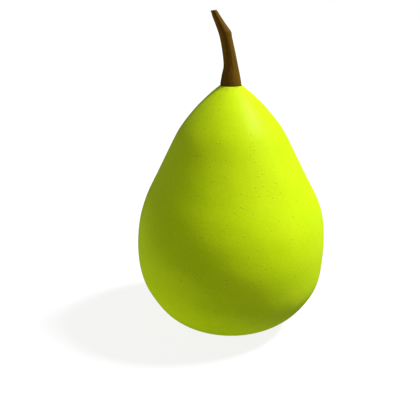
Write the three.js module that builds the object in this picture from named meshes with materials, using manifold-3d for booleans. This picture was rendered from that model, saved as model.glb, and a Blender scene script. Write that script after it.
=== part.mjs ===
// A short-necked green pear, standing on the small flat rim round its calyx basin.
// Units are millimetres and +Z is up. The origin is the centre of the resting rim, on the surface
// that the pear stands on. The stem leans towards -X, and the front of the pear faces -Y.
//
// The fruit is one solid, flesh and skin together. The woody stem is rooted in a shallow socket at
// the top. Underneath, five dried sepals and the dried stamens sit in the calyx basin.

import * as THREE from "three";
import { mergeVertices } from "three/addons/utils/BufferGeometryUtils.js";
import Module from "manifold-3d";

const wasm = await Module();
wasm.setup();

// ---- Driving dimensions -------------------------------------------------------------------------

const FRUIT_RADIUS = 36; // at the widest part of the belly
const FRUIT_HEIGHT = 93.8; // from the resting rim to the shoulder round the stem
const BASIN_RADIUS = 9.5; // inner edge of the resting rim
const RIM_WIDTH = 2.2; // of the flat ring that the pear rests on
const BASIN_DEPTH = 5; // of the calyx basin, up from the resting rim
const TUBE_RADIUS = 2.1; // of the calyx tube, the pit in the middle of the basin
const TUBE_DEPTH = 2.4;
const STEM_RADIUS = 3.85; // where the stem leaves the flesh
const STEM_ROOT = 3; // how deep the stem is rooted in the flesh
const SEPAL_COUNT = 5;
const SEPAL_WIDTH = 2.5;
const SEPAL_THICKNESS = 0.45;
const STAMEN_COUNT = 10;
const STYLE_COUNT = 3;
const FIT_GAP = 0.3; // between pieces that touch

const FRUIT_SIDES = 48; // facets round the fruit
const STEM_SIDES = 16;
const STALK_SIDES = 6; // of a stamen or a style
const FULL_TURN = 2 * Math.PI;

// ---- Materials ----------------------------------------------------------------------------------

const skin = new THREE.MeshStandardMaterial({ color: "#b0ca13", roughness: 0.5, metalness: 0 });
const bark = new THREE.MeshStandardMaterial({ color: "#5e4216", roughness: 0.8, metalness: 0 });
const driedFlower = new THREE.MeshStandardMaterial({ color: "#4a3520", roughness: 0.9, metalness: 0 });

// ---- Helpers ------------------------------------------------------------------------------------

// Moves every vertex of a geometry with a function of its position.
function reshape(geometry, move) {
  const position = geometry.getAttribute("position");
  const point = new THREE.Vector3();
  for (let i = 0; i < position.count; i++) {
    point.fromBufferAttribute(position, i);
    move(point);
    position.setXYZ(i, point.x, point.y, point.z);
  }
  geometry.computeVertexNormals();
  return geometry;
}

// A smooth outline through [radius, height] points.
function smoothOutline(points, steps) {
  return new THREE.SplineCurve(points.map(([r, z]) => new THREE.Vector2(r, z))).getPoints(steps);
}

// A solid of revolution about Z, from an outline that starts and ends on the axis.
function turned(outline, sides) {
  return new THREE.LatheGeometry(outline, sides).rotateX(Math.PI / 2);
}

// Bends an upright shape, whose height runs from 0 to 1, along a route in the XZ plane.
function bentAlong(geometry, route) {
  return reshape(geometry, (point) => {
    const along = THREE.MathUtils.clamp(point.z, 0, 1);
    const centre = route.getPoint(along);
    const ahead = route.getTangent(along);
    point.set(centre.x + ahead.z * point.x, point.y, centre.z - ahead.x * point.x);
  });
}

// A smooth route in the XZ plane through [x, z] points.
function routeThrough(stations) {
  return new THREE.CatmullRomCurve3(stations.map(([x, z]) => new THREE.Vector3(x, 0, z)));
}

// A round stalk through [x, z, radius] stations, with flat ends.
function stalk(stations, steps, sides) {
  const last = stations.length - 1;
  const outline = smoothOutline(stations.map(([, , radius], i) => [radius, i / last]), steps);
  const closed = [new THREE.Vector2(0, 0), ...outline, new THREE.Vector2(0, 1)];
  return bentAlong(turned(closed, sides), routeThrough(stations));
}

// Joins closed geometries into one solid.
function joined(geometries) {
  const solids = geometries.map((geometry) => {
    const bare = geometry.clone().deleteAttribute("normal").deleteAttribute("uv");
    const merged = mergeVertices(bare, 1e-4);
    return new wasm.Manifold(
      new wasm.Mesh({
        numProp: 3,
        vertProperties: new Float32Array(merged.getAttribute("position").array),
        triVerts: new Uint32Array(merged.index.array),
      }),
    );
  });
  const mesh = solids.reduce((whole, solid) => whole.add(solid)).getMesh();
  const geometry = new THREE.BufferGeometry();
  geometry.setAttribute("position", new THREE.BufferAttribute(mesh.vertProperties, 3));
  geometry.setIndex(new THREE.BufferAttribute(mesh.triVerts, 1));
  geometry.computeVertexNormals();
  return geometry;
}

// A named mesh, which is one piece of the pear.
function piece(name, geometry, material) {
  const mesh = new THREE.Mesh(geometry, material);
  mesh.name = name;
  return mesh;
}

// ---- Fruit --------------------------------------------------------------------------------------

// The side of the fruit from the resting rim up to the shoulder, [radius, height].
const SIDE = [
  [BASIN_RADIUS + RIM_WIDTH, 0],
  [17, 1.6],
  [24, 5.1],
  [30, 11],
  [34.4, 20],
  [FRUIT_RADIUS, 31.5],
  [35.3, 42],
  [32.7, 51],
  [28.5, 60],
  [23.4, 70],
  [19, 78],
  [13.6, 85],
  [8.6, 90],
  [STEM_RADIUS + FIT_GAP, FRUIT_HEIGHT],
];

// The calyx basin from its middle out to the resting rim.
const BASIN = [
  [TUBE_RADIUS, BASIN_DEPTH],
  [4.5, 4.4],
  [7.3, 1.8],
  [BASIN_RADIUS, 0],
];

// The low swells and hollows that keep the fruit from being perfectly round. The angle is in
// degrees about Z from +X, and push is how far the surface moves out at the middle of each one.
const SWELLS = [
  { angle: 5, height: 48, wide: 38, tall: 9, push: 0.6 },
  { angle: -10, height: 17, wide: 40, tall: 7, push: 0.5 },
  { angle: 180, height: 27, wide: 40, tall: 9, push: 0.4 },
  { angle: 175, height: 53, wide: 35, tall: 8, push: 0.25 },
  { angle: 180, height: 83, wide: 40, tall: 7, push: 0.3 },
  { angle: -165, height: 12, wide: 35, tall: 5, push: -0.4 },
  { angle: 95, height: 40, wide: 45, tall: 14, push: 0.6 },
  { angle: 60, height: 66, wide: 35, tall: 10, push: -0.5 },
  { angle: 125, height: 20, wide: 30, tall: 8, push: -0.4 },
  { angle: -90, height: 34, wide: 50, tall: 9, push: 0.45 },
  { angle: -90, height: 58, wide: 50, tall: 9, push: -0.5 },
  { angle: -90, height: 80, wide: 50, tall: 6, push: 0.2 },
];

// How far the swells move a point out, as a share of its distance from the axis.
function swellAt(angle, height) {
  let push = 0;
  for (const swell of SWELLS) {
    const turn = THREE.MathUtils.euclideanModulo(angle - swell.angle + 180, 360) - 180;
    const across = turn / swell.wide;
    const up = (height - swell.height) / swell.tall;
    push += swell.push * Math.exp(-across * across - up * up);
  }
  return push / FRUIT_RADIUS;
}

function fruit() {
  const tubeTop = BASIN_DEPTH + TUBE_DEPTH;
  const socketFloor = FRUIT_HEIGHT - STEM_ROOT - FIT_GAP;
  const outline = [
    new THREE.Vector2(0, tubeTop),
    new THREE.Vector2(0.8 * TUBE_RADIUS, tubeTop),
    ...smoothOutline(BASIN, 9),
    ...smoothOutline(SIDE, 39),
    new THREE.Vector2(STEM_RADIUS + FIT_GAP, socketFloor),
    new THREE.Vector2(0, socketFloor),
  ];
  return reshape(turned(outline, FRUIT_SIDES), (point) => {
    const angle = THREE.MathUtils.radToDeg(Math.atan2(point.y, point.x));
    const grow = 1 + swellAt(angle, point.z);
    point.x *= grow;
    point.y *= grow;
  });
}

// ---- Stem ---------------------------------------------------------------------------------------

// The stem from its root to its cut tip, [x, z, radius]. It stands straight at first, then bends.
const STEM = [
  [0, FRUIT_HEIGHT - STEM_ROOT, STEM_RADIUS],
  [0, FRUIT_HEIGHT, STEM_RADIUS],
  [0, 97.2, 3.35],
  [-0.1, 101, 2.6],
  [-1, 106.5, 2.3],
  [-2.2, 111.6, 2.1],
  [-4.2, 115.6, 1.55],
  [-6.2, 119.4, 1.1],
];

function stem() {
  return stalk(STEM, 21, STEM_SIDES);
}

// ---- Calyx --------------------------------------------------------------------------------------

const SEPAL_ROOT = [2.5, 4.3]; // [distance from the axis, height]
const SEPAL_BEND = [4.2, 3.5];
const SEPAL_TIPS = [
  [6.6, 0.9],
  [6.2, 1.3],
  [6.9, 1.2],
  [5.7, 0.8],
  [6.4, 1.1],
];

// How wide a sepal is along its length, from 0 at its root to 1 at its tip.
function sepalWidthAt(along) {
  return SEPAL_WIDTH * ((1 - along ** 1.6) * (0.95 + 0.25 * along) + 0.05);
}

// One dried sepal, which follows the wall of the basin and then hangs down to its pointed tip.
function sepal([tipRadius, tipHeight]) {
  const knee = [0.75 * tipRadius + 0.6, tipHeight + 1.1];
  const route = routeThrough([SEPAL_ROOT, SEPAL_BEND, knee, [tipRadius, tipHeight]]);
  const blade = new THREE.BoxGeometry(SEPAL_THICKNESS, 1, 1, 1, 2, 8).translate(0, 0, 0.5);
  reshape(blade, (point) => {
    point.y *= sepalWidthAt(point.z);
  });
  return bentAlong(blade, route);
}

const DISC_TOP = BASIN_DEPTH + TUBE_DEPTH - FIT_GAP;

// The outline of the woolly disc that fills the calyx tube, [radius, height].
const DISC = [
  [0, DISC_TOP - 1.6],
  [0.9, DISC_TOP - 1.5],
  [1.3, DISC_TOP - 0.8],
  [1.3, DISC_TOP],
];

// A stamen hangs out of the disc to a tip that is `reach` from the axis and `low` above the floor.
function stamen(reach, low) {
  const stations = [
    [0.85, DISC_TOP - 0.7, 0.2],
    [1.25, BASIN_DEPTH - 0.1, 0.16],
    [reach - 0.1, low + 0.9, 0.14],
    [reach, low + 0.35, 0.26],
    [reach + 0.05, low, 0.16],
  ];
  return stalk(stations, 8, STALK_SIDES);
}

function style() {
  const stations = [
    [0.3, DISC_TOP - 1, 0.24],
    [0.35, BASIN_DEPTH - 0.4, 0.2],
    [0.6, BASIN_DEPTH - 1.6, 0.16],
  ];
  return stalk(stations, 5, STALK_SIDES);
}

// The disc with the stamens round it and the styles in its middle, as one dried tuft.
function driedStamens() {
  const disc = smoothOutline(DISC, 8);
  disc.push(new THREE.Vector2(0, DISC_TOP));
  const parts = [turned(disc, 12)];
  for (let i = 0; i < STAMEN_COUNT; i++) {
    const reach = 1.7 + 0.35 * Math.sin(2.4 * i);
    const low = 2.7 + 0.5 * Math.cos(1.7 * i);
    parts.push(stamen(reach, low).rotateZ((i / STAMEN_COUNT) * FULL_TURN));
  }
  for (let i = 0; i < STYLE_COUNT; i++) {
    parts.push(style().rotateZ(((i + 0.15) / STYLE_COUNT) * FULL_TURN));
  }
  return joined(parts);
}

// ---- The whole pear -----------------------------------------------------------------------------

const pear = new THREE.Group();
pear.add(piece("fruit", fruit(), skin));
pear.add(piece("stem", stem(), bark));
for (let i = 0; i < SEPAL_COUNT; i++) {
  const leaf = piece(`sepal_${i + 1}`, sepal(SEPAL_TIPS[i]), driedFlower);
  leaf.rotation.z = (i / SEPAL_COUNT) * FULL_TURN;
  pear.add(leaf);
}
pear.add(piece("dried_stamens", driedStamens(), driedFlower));

export default pear;
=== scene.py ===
"""A short-necked green pear with a woody stem, standing on a pale studio floor.

Sizes, outlines and routes are in millimetres, and the meshes are in metres. +Z is up, -Y is the
front, and the stem leans towards -X.
"""
import math

import bmesh
import bpy
from mathutils import Matrix, Vector, noise


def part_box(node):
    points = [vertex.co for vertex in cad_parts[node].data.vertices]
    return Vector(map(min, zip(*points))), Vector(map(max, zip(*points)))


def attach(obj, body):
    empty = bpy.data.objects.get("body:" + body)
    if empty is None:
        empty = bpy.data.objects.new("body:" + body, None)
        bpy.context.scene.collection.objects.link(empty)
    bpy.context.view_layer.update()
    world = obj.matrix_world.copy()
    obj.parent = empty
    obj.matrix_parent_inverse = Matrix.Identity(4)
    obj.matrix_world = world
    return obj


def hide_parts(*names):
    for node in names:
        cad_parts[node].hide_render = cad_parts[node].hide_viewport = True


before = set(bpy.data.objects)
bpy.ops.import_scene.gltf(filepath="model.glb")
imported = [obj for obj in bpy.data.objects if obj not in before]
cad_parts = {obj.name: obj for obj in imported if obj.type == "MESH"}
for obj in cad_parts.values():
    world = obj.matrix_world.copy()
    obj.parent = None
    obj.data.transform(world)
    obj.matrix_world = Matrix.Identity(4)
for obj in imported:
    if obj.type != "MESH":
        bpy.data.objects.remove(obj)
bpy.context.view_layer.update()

MM = 0.001  # in metres
FULL_TURN = 2 * math.pi

# ---- Driving sizes, in millimetres ---------------------------------------------------------------

FRUIT_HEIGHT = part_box("fruit")[1][2] / MM
FRUIT_RADIUS = 36
STEM_RADIUS = 3.85
BASIN_DEPTH = 5
TUBE_RADIUS = 2.1
TUBE_TOP = BASIN_DEPTH + 2.4

# The side of the fruit from the resting rim up to the shoulder: radius, height.
SIDE = [
    (11.7, 0), (17, 1.6), (24, 5.1), (30, 11), (34.4, 20), (FRUIT_RADIUS, 31.5), (35.3, 42),
    (32.7, 51), (28.5, 60), (23.4, 70), (19, 78), (13.6, 85), (8.6, 90), (4.2, FRUIT_HEIGHT - 0.1),
]

# The calyx basin from its middle out to the resting rim: radius, height.
BASIN = [(TUBE_RADIUS, BASIN_DEPTH), (4.5, 4.4), (7.3, 1.8), (9.5, 0)]

# Low swells and hollows: degrees about Z from +X, height, half-widths round and up, and push.
SWELLS = [
    (5, 48, 38, 9, 0.6),
    (-10, 17, 40, 7, 0.5),
    (180, 27, 40, 9, 0.4),
    (175, 53, 35, 8, 0.25),
    (180, 83, 40, 7, 0.3),
    (-165, 12, 35, 5, -0.4),
    (95, 40, 45, 14, 0.6),
    (60, 66, 35, 10, -0.5),
    (125, 20, 30, 8, -0.4),
    (-90, 34, 50, 9, 0.45),
    (-90, 58, 50, 9, -0.5),
    (-90, 80, 50, 6, 0.2),
]

# The stem from its root to its cut tip: x, z and radius.
STEM = [
    (0, FRUIT_HEIGHT - 1.6, STEM_RADIUS - 0.4),
    (0, FRUIT_HEIGHT, STEM_RADIUS),
    (0, 97.2, 3.35),
    (-0.1, 101, 2.6),
    (-1, 106.5, 2.3),
    (-2.2, 111.6, 2.1),
    (-4.2, 115.6, 1.55),
    (-6.2, 119.4, 1.1),
]
STEM_LENGTH = STEM[-1][1] - STEM[0][1]

# The dried sepals: the root and the bend that they share, and the tip of each: radius, height.
SEPAL_ROOT = (2.2, 5.4)
SEPAL_BEND = (4.2, 3.7)
SEPAL_TIPS = [(6.6, 0.9), (6.2, 1.3), (6.9, 1.2), (5.7, 0.8), (6.4, 1.1)]
SEPAL_WIDTH = 2.5
SEPAL_LENGTH = 7
SEPAL_THICKNESS = 0.22

STAMEN_COUNT = 20
STYLE_COUNT = 5
STALK_LENGTH = 5


# ---- Curves --------------------------------------------------------------------------------------

def through(points, share):
    """The place at a share, 0 to 1, of the way along a smooth line through points."""
    along = share * (len(points) - 1)
    i = min(int(along), len(points) - 2)
    t = along - i
    before = Vector(points[max(i - 1, 0)])
    start = Vector(points[i])
    end = Vector(points[i + 1])
    after = Vector(points[min(i + 2, len(points) - 1)])
    leave = (end - before) / 2
    arrive = (after - start) / 2
    bend = 2 * start - 2 * end + leave + arrive
    return bend * t ** 3 + (3 * end - 3 * start - 2 * leave - arrive) * t ** 2 + leave * t + start


def smooth_line(points, steps):
    return [through(points, i / steps) for i in range(steps + 1)]


def eased(value, low, high):
    """0 below low, 1 above high, and a smooth step between them. low may be the higher one."""
    t = min(max((value - low) / (high - low), 0), 1)
    return t * t * (3 - 2 * t)


def lumps(point, size, seed):
    """Smooth noise, about -1 to 1, whose lumps are size across."""
    return noise.noise(point / size + Vector((seed, 2 * seed, 3 * seed)))


# ---- Meshes --------------------------------------------------------------------------------------

def finished(bm, name, material, node_name):
    """Turns a bmesh into a piece that rides with the pear and stands for a CAD node."""
    bmesh.ops.recalc_face_normals(bm, faces=bm.faces)
    for face in bm.faces:
        face.smooth = True
    mesh = bpy.data.meshes.new(name)
    bm.to_mesh(mesh)
    bm.free()
    mesh.materials.append(material)
    piece = bpy.data.objects.new(name, mesh)
    bpy.context.scene.collection.objects.link(piece)
    smoother = piece.modifiers.new("smoother", "SUBSURF")
    smoother.levels = 1
    smoother.render_levels = 1
    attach(piece, "root")
    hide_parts(node_name)
    return piece


def spun(outline, steps):
    """A bmesh of an outline, in millimetres, spun about Z."""
    bm = bmesh.new()
    line = [bm.verts.new((r * MM, 0, z * MM)) for r, z in outline]
    edges = [bm.edges.new(pair) for pair in zip(line, line[1:])]
    bmesh.ops.spin(
        bm, geom=line + edges, cent=(0, 0, 0), axis=(0, 0, 1), dvec=(0, 0, 0),
        angle=FULL_TURN, steps=steps, use_merge=True, use_normal_flip=False, use_duplicate=False,
    )
    bmesh.ops.remove_doubles(bm, verts=bm.verts, dist=1e-6)
    return bm


def rod(bm, sides, rings):
    """Adds a closed upright rod of radius 1 and height 1 to a bmesh, and returns its vertices."""
    verts = bmesh.ops.create_circle(bm, cap_ends=False, segments=sides, radius=1)["verts"]
    bottom = list(dict.fromkeys(edge for vert in verts for edge in vert.link_edges))
    edges = bottom
    everything = list(verts)
    for _ in range(rings):
        made = bmesh.ops.extrude_edge_only(bm, edges=edges)["geom"]
        verts = [part for part in made if isinstance(part, bmesh.types.BMVert)]
        edges = [part for part in made if isinstance(part, bmesh.types.BMEdge)]
        bmesh.ops.translate(bm, verts=verts, vec=(0, 0, 1 / rings))
        everything += verts
    caps = bmesh.ops.holes_fill(bm, edges=bottom + edges, sides=0)["faces"]
    for cap in caps:
        inner = bmesh.ops.inset_individual(bm, faces=[cap], thickness=0.25)["faces"]
        inner = [cap] + inner
        everything += [vert for face in inner for vert in face.verts]
    return list(dict.fromkeys(everything))


def laid_along(route, local):
    """Where a point of a straight piece goes when its height, 0 to 1, follows a route in XZ.

    The route's points are (x, z, ...) and the point's x and y are its place across the route.
    """
    share = min(max(local.z, 0), 1)
    here = through(route, share)
    ahead = through(route, min(share + 0.01, 1)) - through(route, max(share - 0.01, 0))
    ahead = Vector((ahead[0], ahead[1])).normalized()
    return Vector((here[0] + ahead.y * local.x, local.y, here[1] - ahead.x * local.x))


def straight_layer(bm):
    """A vertex layer for each point's place before its piece was bent, which fibres follow."""
    return bm.verts.layers.float_vector.new("straight")


# ---- Fruit ---------------------------------------------------------------------------------------

FRUIT_SIDES = 144
BASIN_STEPS = 14
SIDE_STEPS = 65


def swell_at(angle, height):
    """How far the swells move the side out, as a share of its distance from the axis."""
    push = 0
    for middle, level, wide, tall, most in SWELLS:
        turn = (angle - middle + 180) % 360 - 180
        push += most * math.exp(-(turn / wide) ** 2 - ((height - level) / tall) ** 2)
    return push / FRUIT_RADIUS


def fruit(material):
    tube = [(0, TUBE_TOP), (1.3, TUBE_TOP - 0.1)]
    # The flesh turns in under the foot of the stem and closes there, out of sight.
    lip = [
        (3.95, FRUIT_HEIGHT - 0.05), (3.6, FRUIT_HEIGHT - 0.4), (3.3, FRUIT_HEIGHT - 0.9),
        (1.8, FRUIT_HEIGHT - 1.1), (0, FRUIT_HEIGHT - 1.1),
    ]
    outline = [*tube, *smooth_line(BASIN, BASIN_STEPS), *smooth_line(SIDE, SIDE_STEPS), *lip]
    bm = spun(outline, FRUIT_SIDES)
    for vert in bm.verts:
        place = vert.co / MM
        turn = math.atan2(place.y, place.x)
        radius = math.hypot(place.x, place.y)
        swell = swell_at(math.degrees(turn), place.z)
        round_about = Vector((math.cos(turn), math.sin(turn), 0))
        # The skin is gently uneven, less so near the stem and where it rests.
        side = eased(place.z, 1, 9) * eased(place.z, 93, 84)
        uneven = 0.16 * lumps(place, 13, 3) + 0.07 * lumps(place, 6, 7)
        # Shallow folds gather round the stem and round the calyx.
        top = eased(place.z, 86, 93.5) * eased(place.z, 93.9, 93.2)
        under = eased(radius, 10.5, 7) * eased(radius, 1.6, 3) * eased(place.z, 30, 10)
        fold = 0.16 * top * lumps(round_about * 2.1, 1, 11)
        vert.co += round_about * (swell * radius + side * uneven + fold) * MM
        vert.co.z += 0.35 * under * (math.cos(5 * turn) + lumps(round_about * 3, 1, 5)) * MM
        vert.co.z = max(vert.co.z, 0)
    return finished(bm, "pear_fruit", material, "fruit")


# ---- Stem ----------------------------------------------------------------------------------------

STEM_SIDES = 36
STEM_RINGS = 76

# The low scar where a bud or a leaf fell off. Its place and half-width are shares of the stem.
SCAR_PLACE = 0.71
SCAR_WIDTH = 0.03
SCAR_HEIGHT = 0.3


def bark_relief(turn, share):
    """How far the bark stands out, in millimetres, at a turn round the stem and a share up it."""
    around = Vector((math.cos(turn), math.sin(turn), 0))
    ribs = 0.16 * lumps(around * 2.6 + Vector((0, 0, 2.2 * share)), 1, 2)
    cracks = 0.06 * lumps(around * 7 + Vector((0, 0, 7 * share)), 1, 9)
    return (ribs + cracks) * eased(share, 0.02, 0.16)


def stem(material):
    bm = bmesh.new()
    straight = straight_layer(bm)
    for vert in rod(bm, STEM_SIDES, STEM_RINGS):
        share = vert.co.z
        turn = math.atan2(vert.co.y, vert.co.x)
        reach = math.hypot(vert.co.x, vert.co.y)
        radius = through(STEM, share)[2]
        # The scar is on the outside of the bend.
        outside = eased(math.cos(turn), 0.1, 0.9)
        scar = SCAR_HEIGHT * math.exp(-((share - SCAR_PLACE) / SCAR_WIDTH) ** 2) * outside
        full = radius + reach * (bark_relief(turn, share) + scar)
        vert[straight] = Vector((vert.co.x * radius, vert.co.y * radius, share * STEM_LENGTH)) * MM
        local = Vector((vert.co.x * full, vert.co.y * full, share))
        spot = laid_along(STEM, local)
        # The end is cut nearly level.
        spot.z += 0.75 * eased(share, 0.93, 1) * (STEM[-1][1] - spot.z)
        vert.co = spot * MM
    return finished(bm, "pear_stem", material, "stem")


# ---- Calyx ---------------------------------------------------------------------------------------

DISC_SIDES = 32
DISC_STEPS = 16
STALK_SIDES = 8
STALK_RINGS = 14


def sepal(number, material):
    """One dried, curled sepal, five of which stand round the calyx tube."""
    tip_radius, tip_height = SEPAL_TIPS[number]
    knee = (0.75 * tip_radius + 0.6, tip_height + 1.1)
    route = [SEPAL_ROOT, SEPAL_BEND, knee, (tip_radius, tip_height)]
    bm = bmesh.new()
    straight = straight_layer(bm)
    bmesh.ops.create_grid(bm, x_segments=6, y_segments=18, size=0.5)
    turned = Matrix.Rotation(number / len(SEPAL_TIPS) * FULL_TURN, 3, "Z")
    for vert in bm.verts:
        side = 2 * vert.co.x
        share = vert.co.y + 0.5
        wide = SEPAL_WIDTH / 2 * ((1 - share ** 1.6) * (0.95 + 0.25 * share) + 0.03)
        # It is crinkled and cupped, with a low midrib and an uneven edge.
        crinkle = 0.14 * lumps(Vector((side * 2, share * 5, number)), 1, 4)
        cup = -0.3 * side * side * (1 - 0.6 * share) + 0.12 * math.exp(-(side / 0.2) ** 2)
        edge = 1 + 0.1 * lumps(Vector((share * 9, side, number)), 1, 6)
        # Each sepal has its own place along X, so that no two look alike.
        vert[straight] = Vector((SEPAL_LENGTH * number, side * wide, share * SEPAL_LENGTH)) * MM
        local = Vector((cup + crinkle, side * wide * edge, share))
        vert.co = turned @ (laid_along(route, local) * MM)
    bmesh.ops.solidify(bm, geom=bm.faces[:], thickness=SEPAL_THICKNESS * MM)
    name = f"sepal_{number + 1}"
    return finished(bm, f"dried_{name}", material, name)


def add_stalk(bm, straight, stations, turn):
    """Adds a thin round stalk through x, z, radius stations, turned about Z."""
    turned = Matrix.Rotation(turn, 3, "Z")
    for vert in rod(bm, STALK_SIDES, STALK_RINGS):
        radius = through(stations, vert.co.z)[2]
        local = Vector((vert.co.x * radius, vert.co.y * radius, vert.co.z))
        vert[straight] = Vector((local.x + STALK_LENGTH * turn, local.y, local.z * STALK_LENGTH)) * MM
        vert.co = turned @ (laid_along(stations, local) * MM)


def stamens(material):
    """The woolly disc in the calyx tube, with dried stamens round it and the styles in it."""
    top = TUBE_TOP - 0.3
    disc = [(0, top - 1.6), (0.5, top - 1.6), (1, top - 1.4), (1.3, top - 0.8), (1.3, top)]
    bm = spun([*smooth_line(disc, DISC_STEPS), (0, top)], DISC_SIDES)
    straight = straight_layer(bm)
    for vert in bm.verts:
        vert[straight] = vert.co
    for i in range(STAMEN_COUNT):
        reach = 1.65 + 0.35 * math.sin(2.4 * i)
        low = 2.6 + 0.6 * math.cos(1.7 * i)
        add_stalk(bm, straight, [
            (0.9, top - 0.7, 0.13),
            (1.25, 4.9, 0.1),
            (reach - 0.15, low + 0.9, 0.08),
            (reach - 0.02, low + 0.45, 0.1),
            (reach, low + 0.25, 0.24),
            (reach + 0.04, low, 0.1),
        ], (i + 0.3 * math.sin(5 * i)) / STAMEN_COUNT * FULL_TURN)
    for i in range(STYLE_COUNT):
        add_stalk(bm, straight, [
            (0.3, top - 1, 0.16),
            (0.35, 4.6, 0.13),
            (0.5, 3.8, 0.1),
            (0.7, 3.3, 0.16),
        ], (i + 0.3) / STYLE_COUNT * FULL_TURN)
    return finished(bm, "dried_stamen_tuft", material, "dried_stamens")


# ---- Materials -----------------------------------------------------------------------------------

def add(tree, kind, values=None, **settings):
    """Adds a node with its own settings.

    values go to its inputs: a socket is linked and anything else is set.
    """
    made = tree.nodes.new(kind)
    for key, value in settings.items():
        setattr(made, key, value)
    for name, value in (values or {}).items():
        if isinstance(value, bpy.types.NodeSocket):
            tree.links.new(value, made.inputs[name])
        else:
            made.inputs[name].default_value = value
    return made


def maths(tree, operation, first, second):
    return add(tree, "ShaderNodeMath", {0: first, 1: second}, operation=operation).outputs[0]


def scaled(tree, value, factor):
    return maths(tree, "MULTIPLY", value, factor)


def blended(tree, share, first, second):
    """The colour first where share is 0 and second where it is 1."""
    made = add(tree, "ShaderNodeMix", data_type="RGBA")
    for socket, value in (("Factor_Float", share), ("A_Color", first), ("B_Color", second)):
        target = next(s for s in made.inputs if s.identifier == socket)
        if isinstance(value, bpy.types.NodeSocket):
            tree.links.new(value, target)
        elif socket == "Factor_Float":
            target.default_value = value
        else:
            target.default_value = (*value, 1)
    return next(s for s in made.outputs if s.identifier == "Result_Color")


def ranged(tree, value, low, high, to_low=0.0, to_high=1.0):
    """A smooth step of a value from low to high."""
    return add(
        tree, "ShaderNodeMapRange",
        {"Value": value, "From Min": low, "From Max": high, "To Min": to_low, "To Max": to_high},
        interpolation_type="SMOOTHSTEP",
    ).outputs["Result"]


def new_group(name, inputs, output):
    """A shader node group with a vector input, float inputs and one float output."""
    tree = bpy.data.node_groups.new(name, "ShaderNodeTree")
    tree.interface.new_socket("Vector", in_out="INPUT", socket_type="NodeSocketVector")
    for socket in inputs:
        tree.interface.new_socket(socket, in_out="INPUT", socket_type="NodeSocketFloat")
    tree.interface.new_socket(output, in_out="OUTPUT", socket_type="NodeSocketFloat")
    given = tree.nodes.new("NodeGroupInput").outputs
    result = tree.nodes.new("NodeGroupOutput").inputs[output]
    return tree, given, result


def dots_group():
    """Scattered round dots of mixed sizes, Spacing apart. Radius is a share of the spacing."""
    tree, given, result = new_group("dots", ["Spacing", "Radius"], "Mask")
    scale = maths(tree, "DIVIDE", 1.0, given["Spacing"])
    cells = add(tree, "ShaderNodeTexVoronoi", {"Vector": given["Vector"], "Scale": scale})
    core = maths(tree, "MULTIPLY", given["Radius"], 0.4)
    mask = ranged(tree, cells.outputs["Distance"], given["Radius"], core)
    tree.links.new(mask, result)
    return tree


def patches_group():
    """Soft cloudy patches of about Size, from 0 to 1, whose edges are sharper with Contrast."""
    tree, given, result = new_group("patches", ["Size", "Contrast"], "Value")
    scale = maths(tree, "DIVIDE", 1.0, given["Size"])
    cloud = add(
        tree, "ShaderNodeTexNoise",
        {"Vector": given["Vector"], "Scale": scale, "Detail": 3.0, "Roughness": 0.55},
    )
    half = maths(tree, "DIVIDE", 0.5, given["Contrast"])
    low = maths(tree, "SUBTRACT", 0.5, half)
    high = maths(tree, "ADD", 0.5, half)
    tree.links.new(ranged(tree, cloud.outputs["Fac"], low, high), result)
    return tree


def placed(tree, group, vector, **values):
    """The output of a group node that reads a vector and has its own values."""
    made = add(tree, "ShaderNodeGroup", node_tree=group)
    tree.links.new(vector, made.inputs["Vector"])
    for name, value in values.items():
        made.inputs[name].default_value = value
    return made.outputs[0]


def along_fibres(tree, stretch):
    """The straight place of each point, as it is and drawn out along its piece."""
    straight = add(tree, "ShaderNodeAttribute", attribute_name="straight").outputs["Vector"]
    drawn_out = add(tree, "ShaderNodeMapping", {"Vector": straight, "Scale": (1, 1, 1 / stretch)})
    return straight, drawn_out.outputs[0]


def new_material(name, specular, tint, coat=0.0, coat_roughness=0.3):
    material = bpy.data.materials.new(name)
    material.use_nodes = True
    tree = material.node_tree
    shader = tree.nodes["Principled BSDF"]
    shader.inputs["Specular IOR Level"].default_value = specular
    shader.inputs["Specular Tint"].default_value = (*tint, 1)
    shader.inputs["Coat Weight"].default_value = coat
    shader.inputs["Coat Roughness"].default_value = coat_roughness
    return material, tree, shader


def set_surface(tree, shader, colour, roughness, height, strength, depth):
    """Feeds a material's colour, roughness and bump. depth is the bump's in metres."""
    bump = add(tree, "ShaderNodeBump", {"Strength": strength, "Distance": depth, "Height": height})
    tree.links.new(colour, shader.inputs["Base Color"])
    tree.links.new(roughness, shader.inputs["Roughness"])
    tree.links.new(bump.outputs[0], shader.inputs["Normal"])


SKIN_GREEN = (0.405, 0.565, 0.003)
SKIN_YELLOW = (0.44, 0.585, 0.005)
SKIN_DEEP = (0.34, 0.5, 0.002)
SKIN_DOT = (0.22, 0.25, 0.01)
SKIN_HALO = (0.50, 0.64, 0.008)
RUSSET = (0.21, 0.14, 0.02)
SKIN_DOT_SPACING = 1.9 * MM


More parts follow.
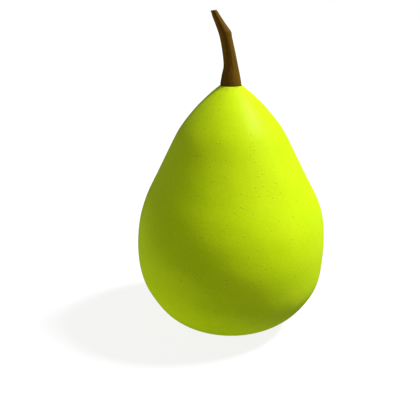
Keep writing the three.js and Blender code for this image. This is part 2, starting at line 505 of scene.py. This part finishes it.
def skin_material(dots, patches):
    """Waxy green skin with fine dots, soft mottling, and russet at the stem and the calyx."""
    material, tree, shader = new_material(
        "pear_skin", specular=0.06, tint=(0.9, 1, 0.2), coat=0.02, coat_roughness=0.35,
    )
    place = add(tree, "ShaderNodeTexCoord").outputs["Object"]
    parts = add(tree, "ShaderNodeSeparateXYZ", {0: place}).outputs
    flat = add(tree, "ShaderNodeCombineXYZ", {"X": parts["X"], "Y": parts["Y"]}).outputs[0]
    radius = add(tree, "ShaderNodeVectorMath", {0: flat}, operation="LENGTH").outputs["Value"]

    # Each dot has a dark core and a paler ring round it, and much smaller dots lie between them.
    cloudy = placed(tree, patches, place, Size=20 * MM, Contrast=2.5)
    mottled = placed(tree, patches, place, Size=2.2 * MM, Contrast=2.0)
    dot = placed(tree, dots, place, Spacing=SKIN_DOT_SPACING, Radius=0.2)
    ring = placed(tree, dots, place, Spacing=SKIN_DOT_SPACING, Radius=0.38)
    tiny = placed(tree, dots, place, Spacing=1 * MM, Radius=0.22)
    colour = blended(tree, cloudy, SKIN_GREEN, SKIN_YELLOW)
    colour = blended(tree, scaled(tree, mottled, 0.16), colour, SKIN_DEEP)
    colour = blended(tree, scaled(tree, ring, 0.4), colour, SKIN_HALO)
    colour = blended(tree, scaled(tree, dot, 0.6), colour, SKIN_DOT)
    colour = blended(tree, scaled(tree, tiny, 0.12), colour, SKIN_DOT)

    # Russet breaks up into patches, faintly at the stem and more strongly round the calyx.
    foot = FRUIT_HEIGHT * MM
    near_stem = ranged(tree, parts["Z"], foot - 2 * MM, foot + 0.2 * MM, to_high=0.6)
    round_calyx = ranged(tree, radius, 12 * MM, 5 * MM)
    underneath = ranged(tree, parts["Z"], 12 * MM, 8 * MM)
    near_calyx = maths(tree, "MULTIPLY", round_calyx, underneath)
    broken = placed(tree, patches, place, Size=1.6 * MM, Contrast=3.5)
    rusty = maths(tree, "MULTIPLY", maths(tree, "MAXIMUM", near_stem, near_calyx), broken)
    colour = blended(tree, scaled(tree, rusty, 0.75), colour, RUSSET)

    waxy = ranged(tree, cloudy, 0, 1, to_low=0.46, to_high=0.54)
    roughness = maths(tree, "ADD", waxy, scaled(tree, rusty, 0.25))
    pores = add(tree, "ShaderNodeTexNoise", {"Vector": place, "Scale": 0.9 / MM, "Detail": 2.0})
    height = maths(tree, "ADD", scaled(tree, pores.outputs["Fac"], 0.7), scaled(tree, dot, 0.5))
    height = maths(tree, "ADD", height, scaled(tree, rusty, 0.8))
    set_surface(tree, shader, colour, roughness, height, strength=0.5, depth=0.08 * MM)
    return material


BARK_DARK = (0.068, 0.03, 0.0008)
BARK_MID = (0.102, 0.047, 0.0012)
BARK_PALE = (0.135, 0.067, 0.004)
BARK_PORE = (0.21, 0.125, 0.03)
END_GRAIN = (0.13, 0.075, 0.02)


def bark_material(dots, patches):
    """Brown bark with fibres along the stem, small pale pores and a cut end."""
    material, tree, shader = new_material("stem_bark", specular=0.1, tint=(1, 0.9, 0.4))
    straight, drawn_out = along_fibres(tree, stretch=11)
    fibre = placed(tree, patches, drawn_out, Size=0.6 * MM, Contrast=1.8)
    broad = placed(tree, patches, drawn_out, Size=2.2 * MM, Contrast=2.2)
    pore = placed(tree, dots, straight, Spacing=1.9 * MM, Radius=0.15)
    colour = blended(tree, broad, BARK_DARK, BARK_MID)
    colour = blended(tree, scaled(tree, fibre, 0.6), colour, BARK_PALE)
    colour = blended(tree, scaled(tree, pore, 0.6), colour, BARK_PORE)
    along = add(tree, "ShaderNodeSeparateXYZ", {0: straight}).outputs["Z"]
    cut = ranged(tree, along, (STEM_LENGTH - 0.5) * MM, (STEM_LENGTH - 0.1) * MM)
    colour = blended(tree, scaled(tree, cut, 0.7), colour, END_GRAIN)
    roughness = ranged(tree, fibre, 0, 1, to_low=0.82, to_high=0.62)
    height = maths(tree, "ADD", scaled(tree, fibre, 0.7), scaled(tree, pore, 0.6))
    set_surface(tree, shader, colour, roughness, height, strength=0.7, depth=0.12 * MM)
    return material


DRIED_DARK = (0.035, 0.017, 0.006)
DRIED_BROWN = (0.12, 0.066, 0.022)
DRIED_VEIN = (0.19, 0.12, 0.05)


def dried_material(patches):
    """Brittle brown sepals and stamens, with veins that run along them."""
    material, tree, shader = new_material("dried_flower", specular=0.2, tint=(1, 0.9, 0.7))
    straight, drawn_out = along_fibres(tree, stretch=6)
    blotch = placed(tree, patches, straight, Size=1.6 * MM, Contrast=2.2)
    vein = placed(tree, patches, drawn_out, Size=0.35 * MM, Contrast=2.4)
    grain = placed(tree, patches, straight, Size=0.2 * MM, Contrast=1.6)
    colour = blended(tree, blotch, DRIED_DARK, DRIED_BROWN)
    colour = blended(tree, scaled(tree, vein, 0.5), colour, DRIED_VEIN)
    roughness = ranged(tree, grain, 0, 1, to_low=0.95, to_high=0.75)
    height = maths(tree, "ADD", vein, scaled(tree, grain, 0.4))
    set_surface(tree, shader, colour, roughness, height, strength=0.6, depth=0.12 * MM)
    return material


# ---- Stage ---------------------------------------------------------------------------------------

def towards(azimuth, elevation):
    """The direction out of the pear at an azimuth, from the front towards +X, and an elevation."""
    a = math.radians(azimuth)
    e = math.radians(elevation)
    return Vector((math.sin(a) * math.cos(e), -math.cos(a) * math.cos(e), math.sin(e)))


def sun(name, azimuth, elevation, strength, spread, shines):
    """Soft parallel light from a direction. Only light that shines makes highlights."""
    lamp = bpy.data.lights.new(name, "SUN")
    lamp.energy = strength
    lamp.angle = math.radians(spread)
    made = bpy.data.objects.new(name, lamp)
    made.rotation_mode = "QUATERNION"
    made.rotation_quaternion = towards(azimuth, elevation).to_track_quat("Z", "Y")
    made.visible_glossy = shines
    bpy.context.scene.collection.objects.link(made)
    return made


# The camera looks down at a point on the axis: its height and distance in millimetres, and the tilt.
SIGHT_HEIGHT = 46.2
SIGHT_DISTANCE = 225.8
SIGHT_TILT = 19


def camera():
    sight = bpy.data.cameras.new("camera")
    sight.lens = 50
    sight.sensor_width = 36
    sight.shift_x = -0.05
    sight.clip_start = 0.01
    made = bpy.data.objects.new("camera", sight)
    back = towards(0, SIGHT_TILT)
    made.location = (Vector((0, 0, SIGHT_HEIGHT)) + back * SIGHT_DISTANCE) * MM
    made.rotation_mode = "QUATERNION"
    made.rotation_quaternion = back.to_track_quat("Z", "Y")
    bpy.context.scene.collection.objects.link(made)
    bpy.context.scene.camera = made


FLOOR_REACH = 6  # in metres
PAPER_LIT = (0.25, 0.25, 0.25, 1)
PAPER_SEEN = (0.13, 0.13, 0.13, 1)
PAPER_GLOW = 0.85


def floor():
    """A pale paper floor. It looks evenly bright, but throws only a little light back up."""
    bm = bmesh.new()
    bmesh.ops.create_grid(bm, x_segments=1, y_segments=1, size=FLOOR_REACH)
    mesh = bpy.data.meshes.new("floor")
    bm.to_mesh(mesh)
    bm.free()
    made = bpy.data.objects.new("floor", mesh)
    bpy.context.scene.collection.objects.link(made)
    made.visible_shadow = False
    made.visible_glossy = False
    material = bpy.data.materials.new("floor_paper")
    material.use_nodes = True
    tree = material.node_tree
    tree.nodes.clear()
    paper = add(tree, "ShaderNodeBsdfDiffuse", {"Color": PAPER_LIT})
    seen_paper = add(tree, "ShaderNodeBsdfDiffuse", {"Color": PAPER_SEEN})
    glow = add(tree, "ShaderNodeEmission", {"Strength": PAPER_GLOW})
    bright = add(tree, "ShaderNodeAddShader", {0: seen_paper.outputs[0], 1: glow.outputs[0]})
    seen = add(tree, "ShaderNodeLightPath").outputs["Is Camera Ray"]
    either = add(tree, "ShaderNodeMixShader", {0: seen, 1: paper.outputs[0], 2: bright.outputs[0]})
    add(tree, "ShaderNodeOutputMaterial", {"Surface": either.outputs[0]})
    mesh.materials.append(material)


SKY_LIGHT = 0.42
SKY_MIRRORED = 0.05
SKY_SEEN = 1


def studio():
    """White surroundings that light the pear softly and are only faintly mirrored in it."""
    sky = bpy.data.worlds.new("studio")
    bpy.context.scene.world = sky
    sky.use_nodes = True
    sky.cycles.sampling_method = "NONE"
    tree = sky.node_tree
    tree.nodes.clear()
    rays = add(tree, "ShaderNodeLightPath").outputs
    unseen = ranged(tree, rays["Is Glossy Ray"], 0, 1, to_low=SKY_LIGHT, to_high=SKY_MIRRORED)
    strength = ranged(tree, rays["Is Camera Ray"], 0, 1, to_low=unseen, to_high=SKY_SEEN)
    back = add(tree, "ShaderNodeBackground", {"Color": (1, 1, 1, 1), "Strength": strength})
    add(tree, "ShaderNodeOutputWorld", {"Surface": back.outputs[0]})


# ---- The whole picture ---------------------------------------------------------------------------

bpy.context.scene.view_settings.view_transform = "Standard"
camera()
studio()
floor()
sun("key", azimuth=93, elevation=53, strength=5.9, spread=12, shines=True)
sun("fill", azimuth=-108, elevation=-55, strength=2.3, spread=10, shines=False)

dots = dots_group()
patches = patches_group()
dried_flower = dried_material(patches)
fruit(skin_material(dots, patches))
stem(bark_material(dots, patches))
for number in range(len(SEPAL_TIPS)):
    sepal(number, dried_flower)
stamens(dried_flower)
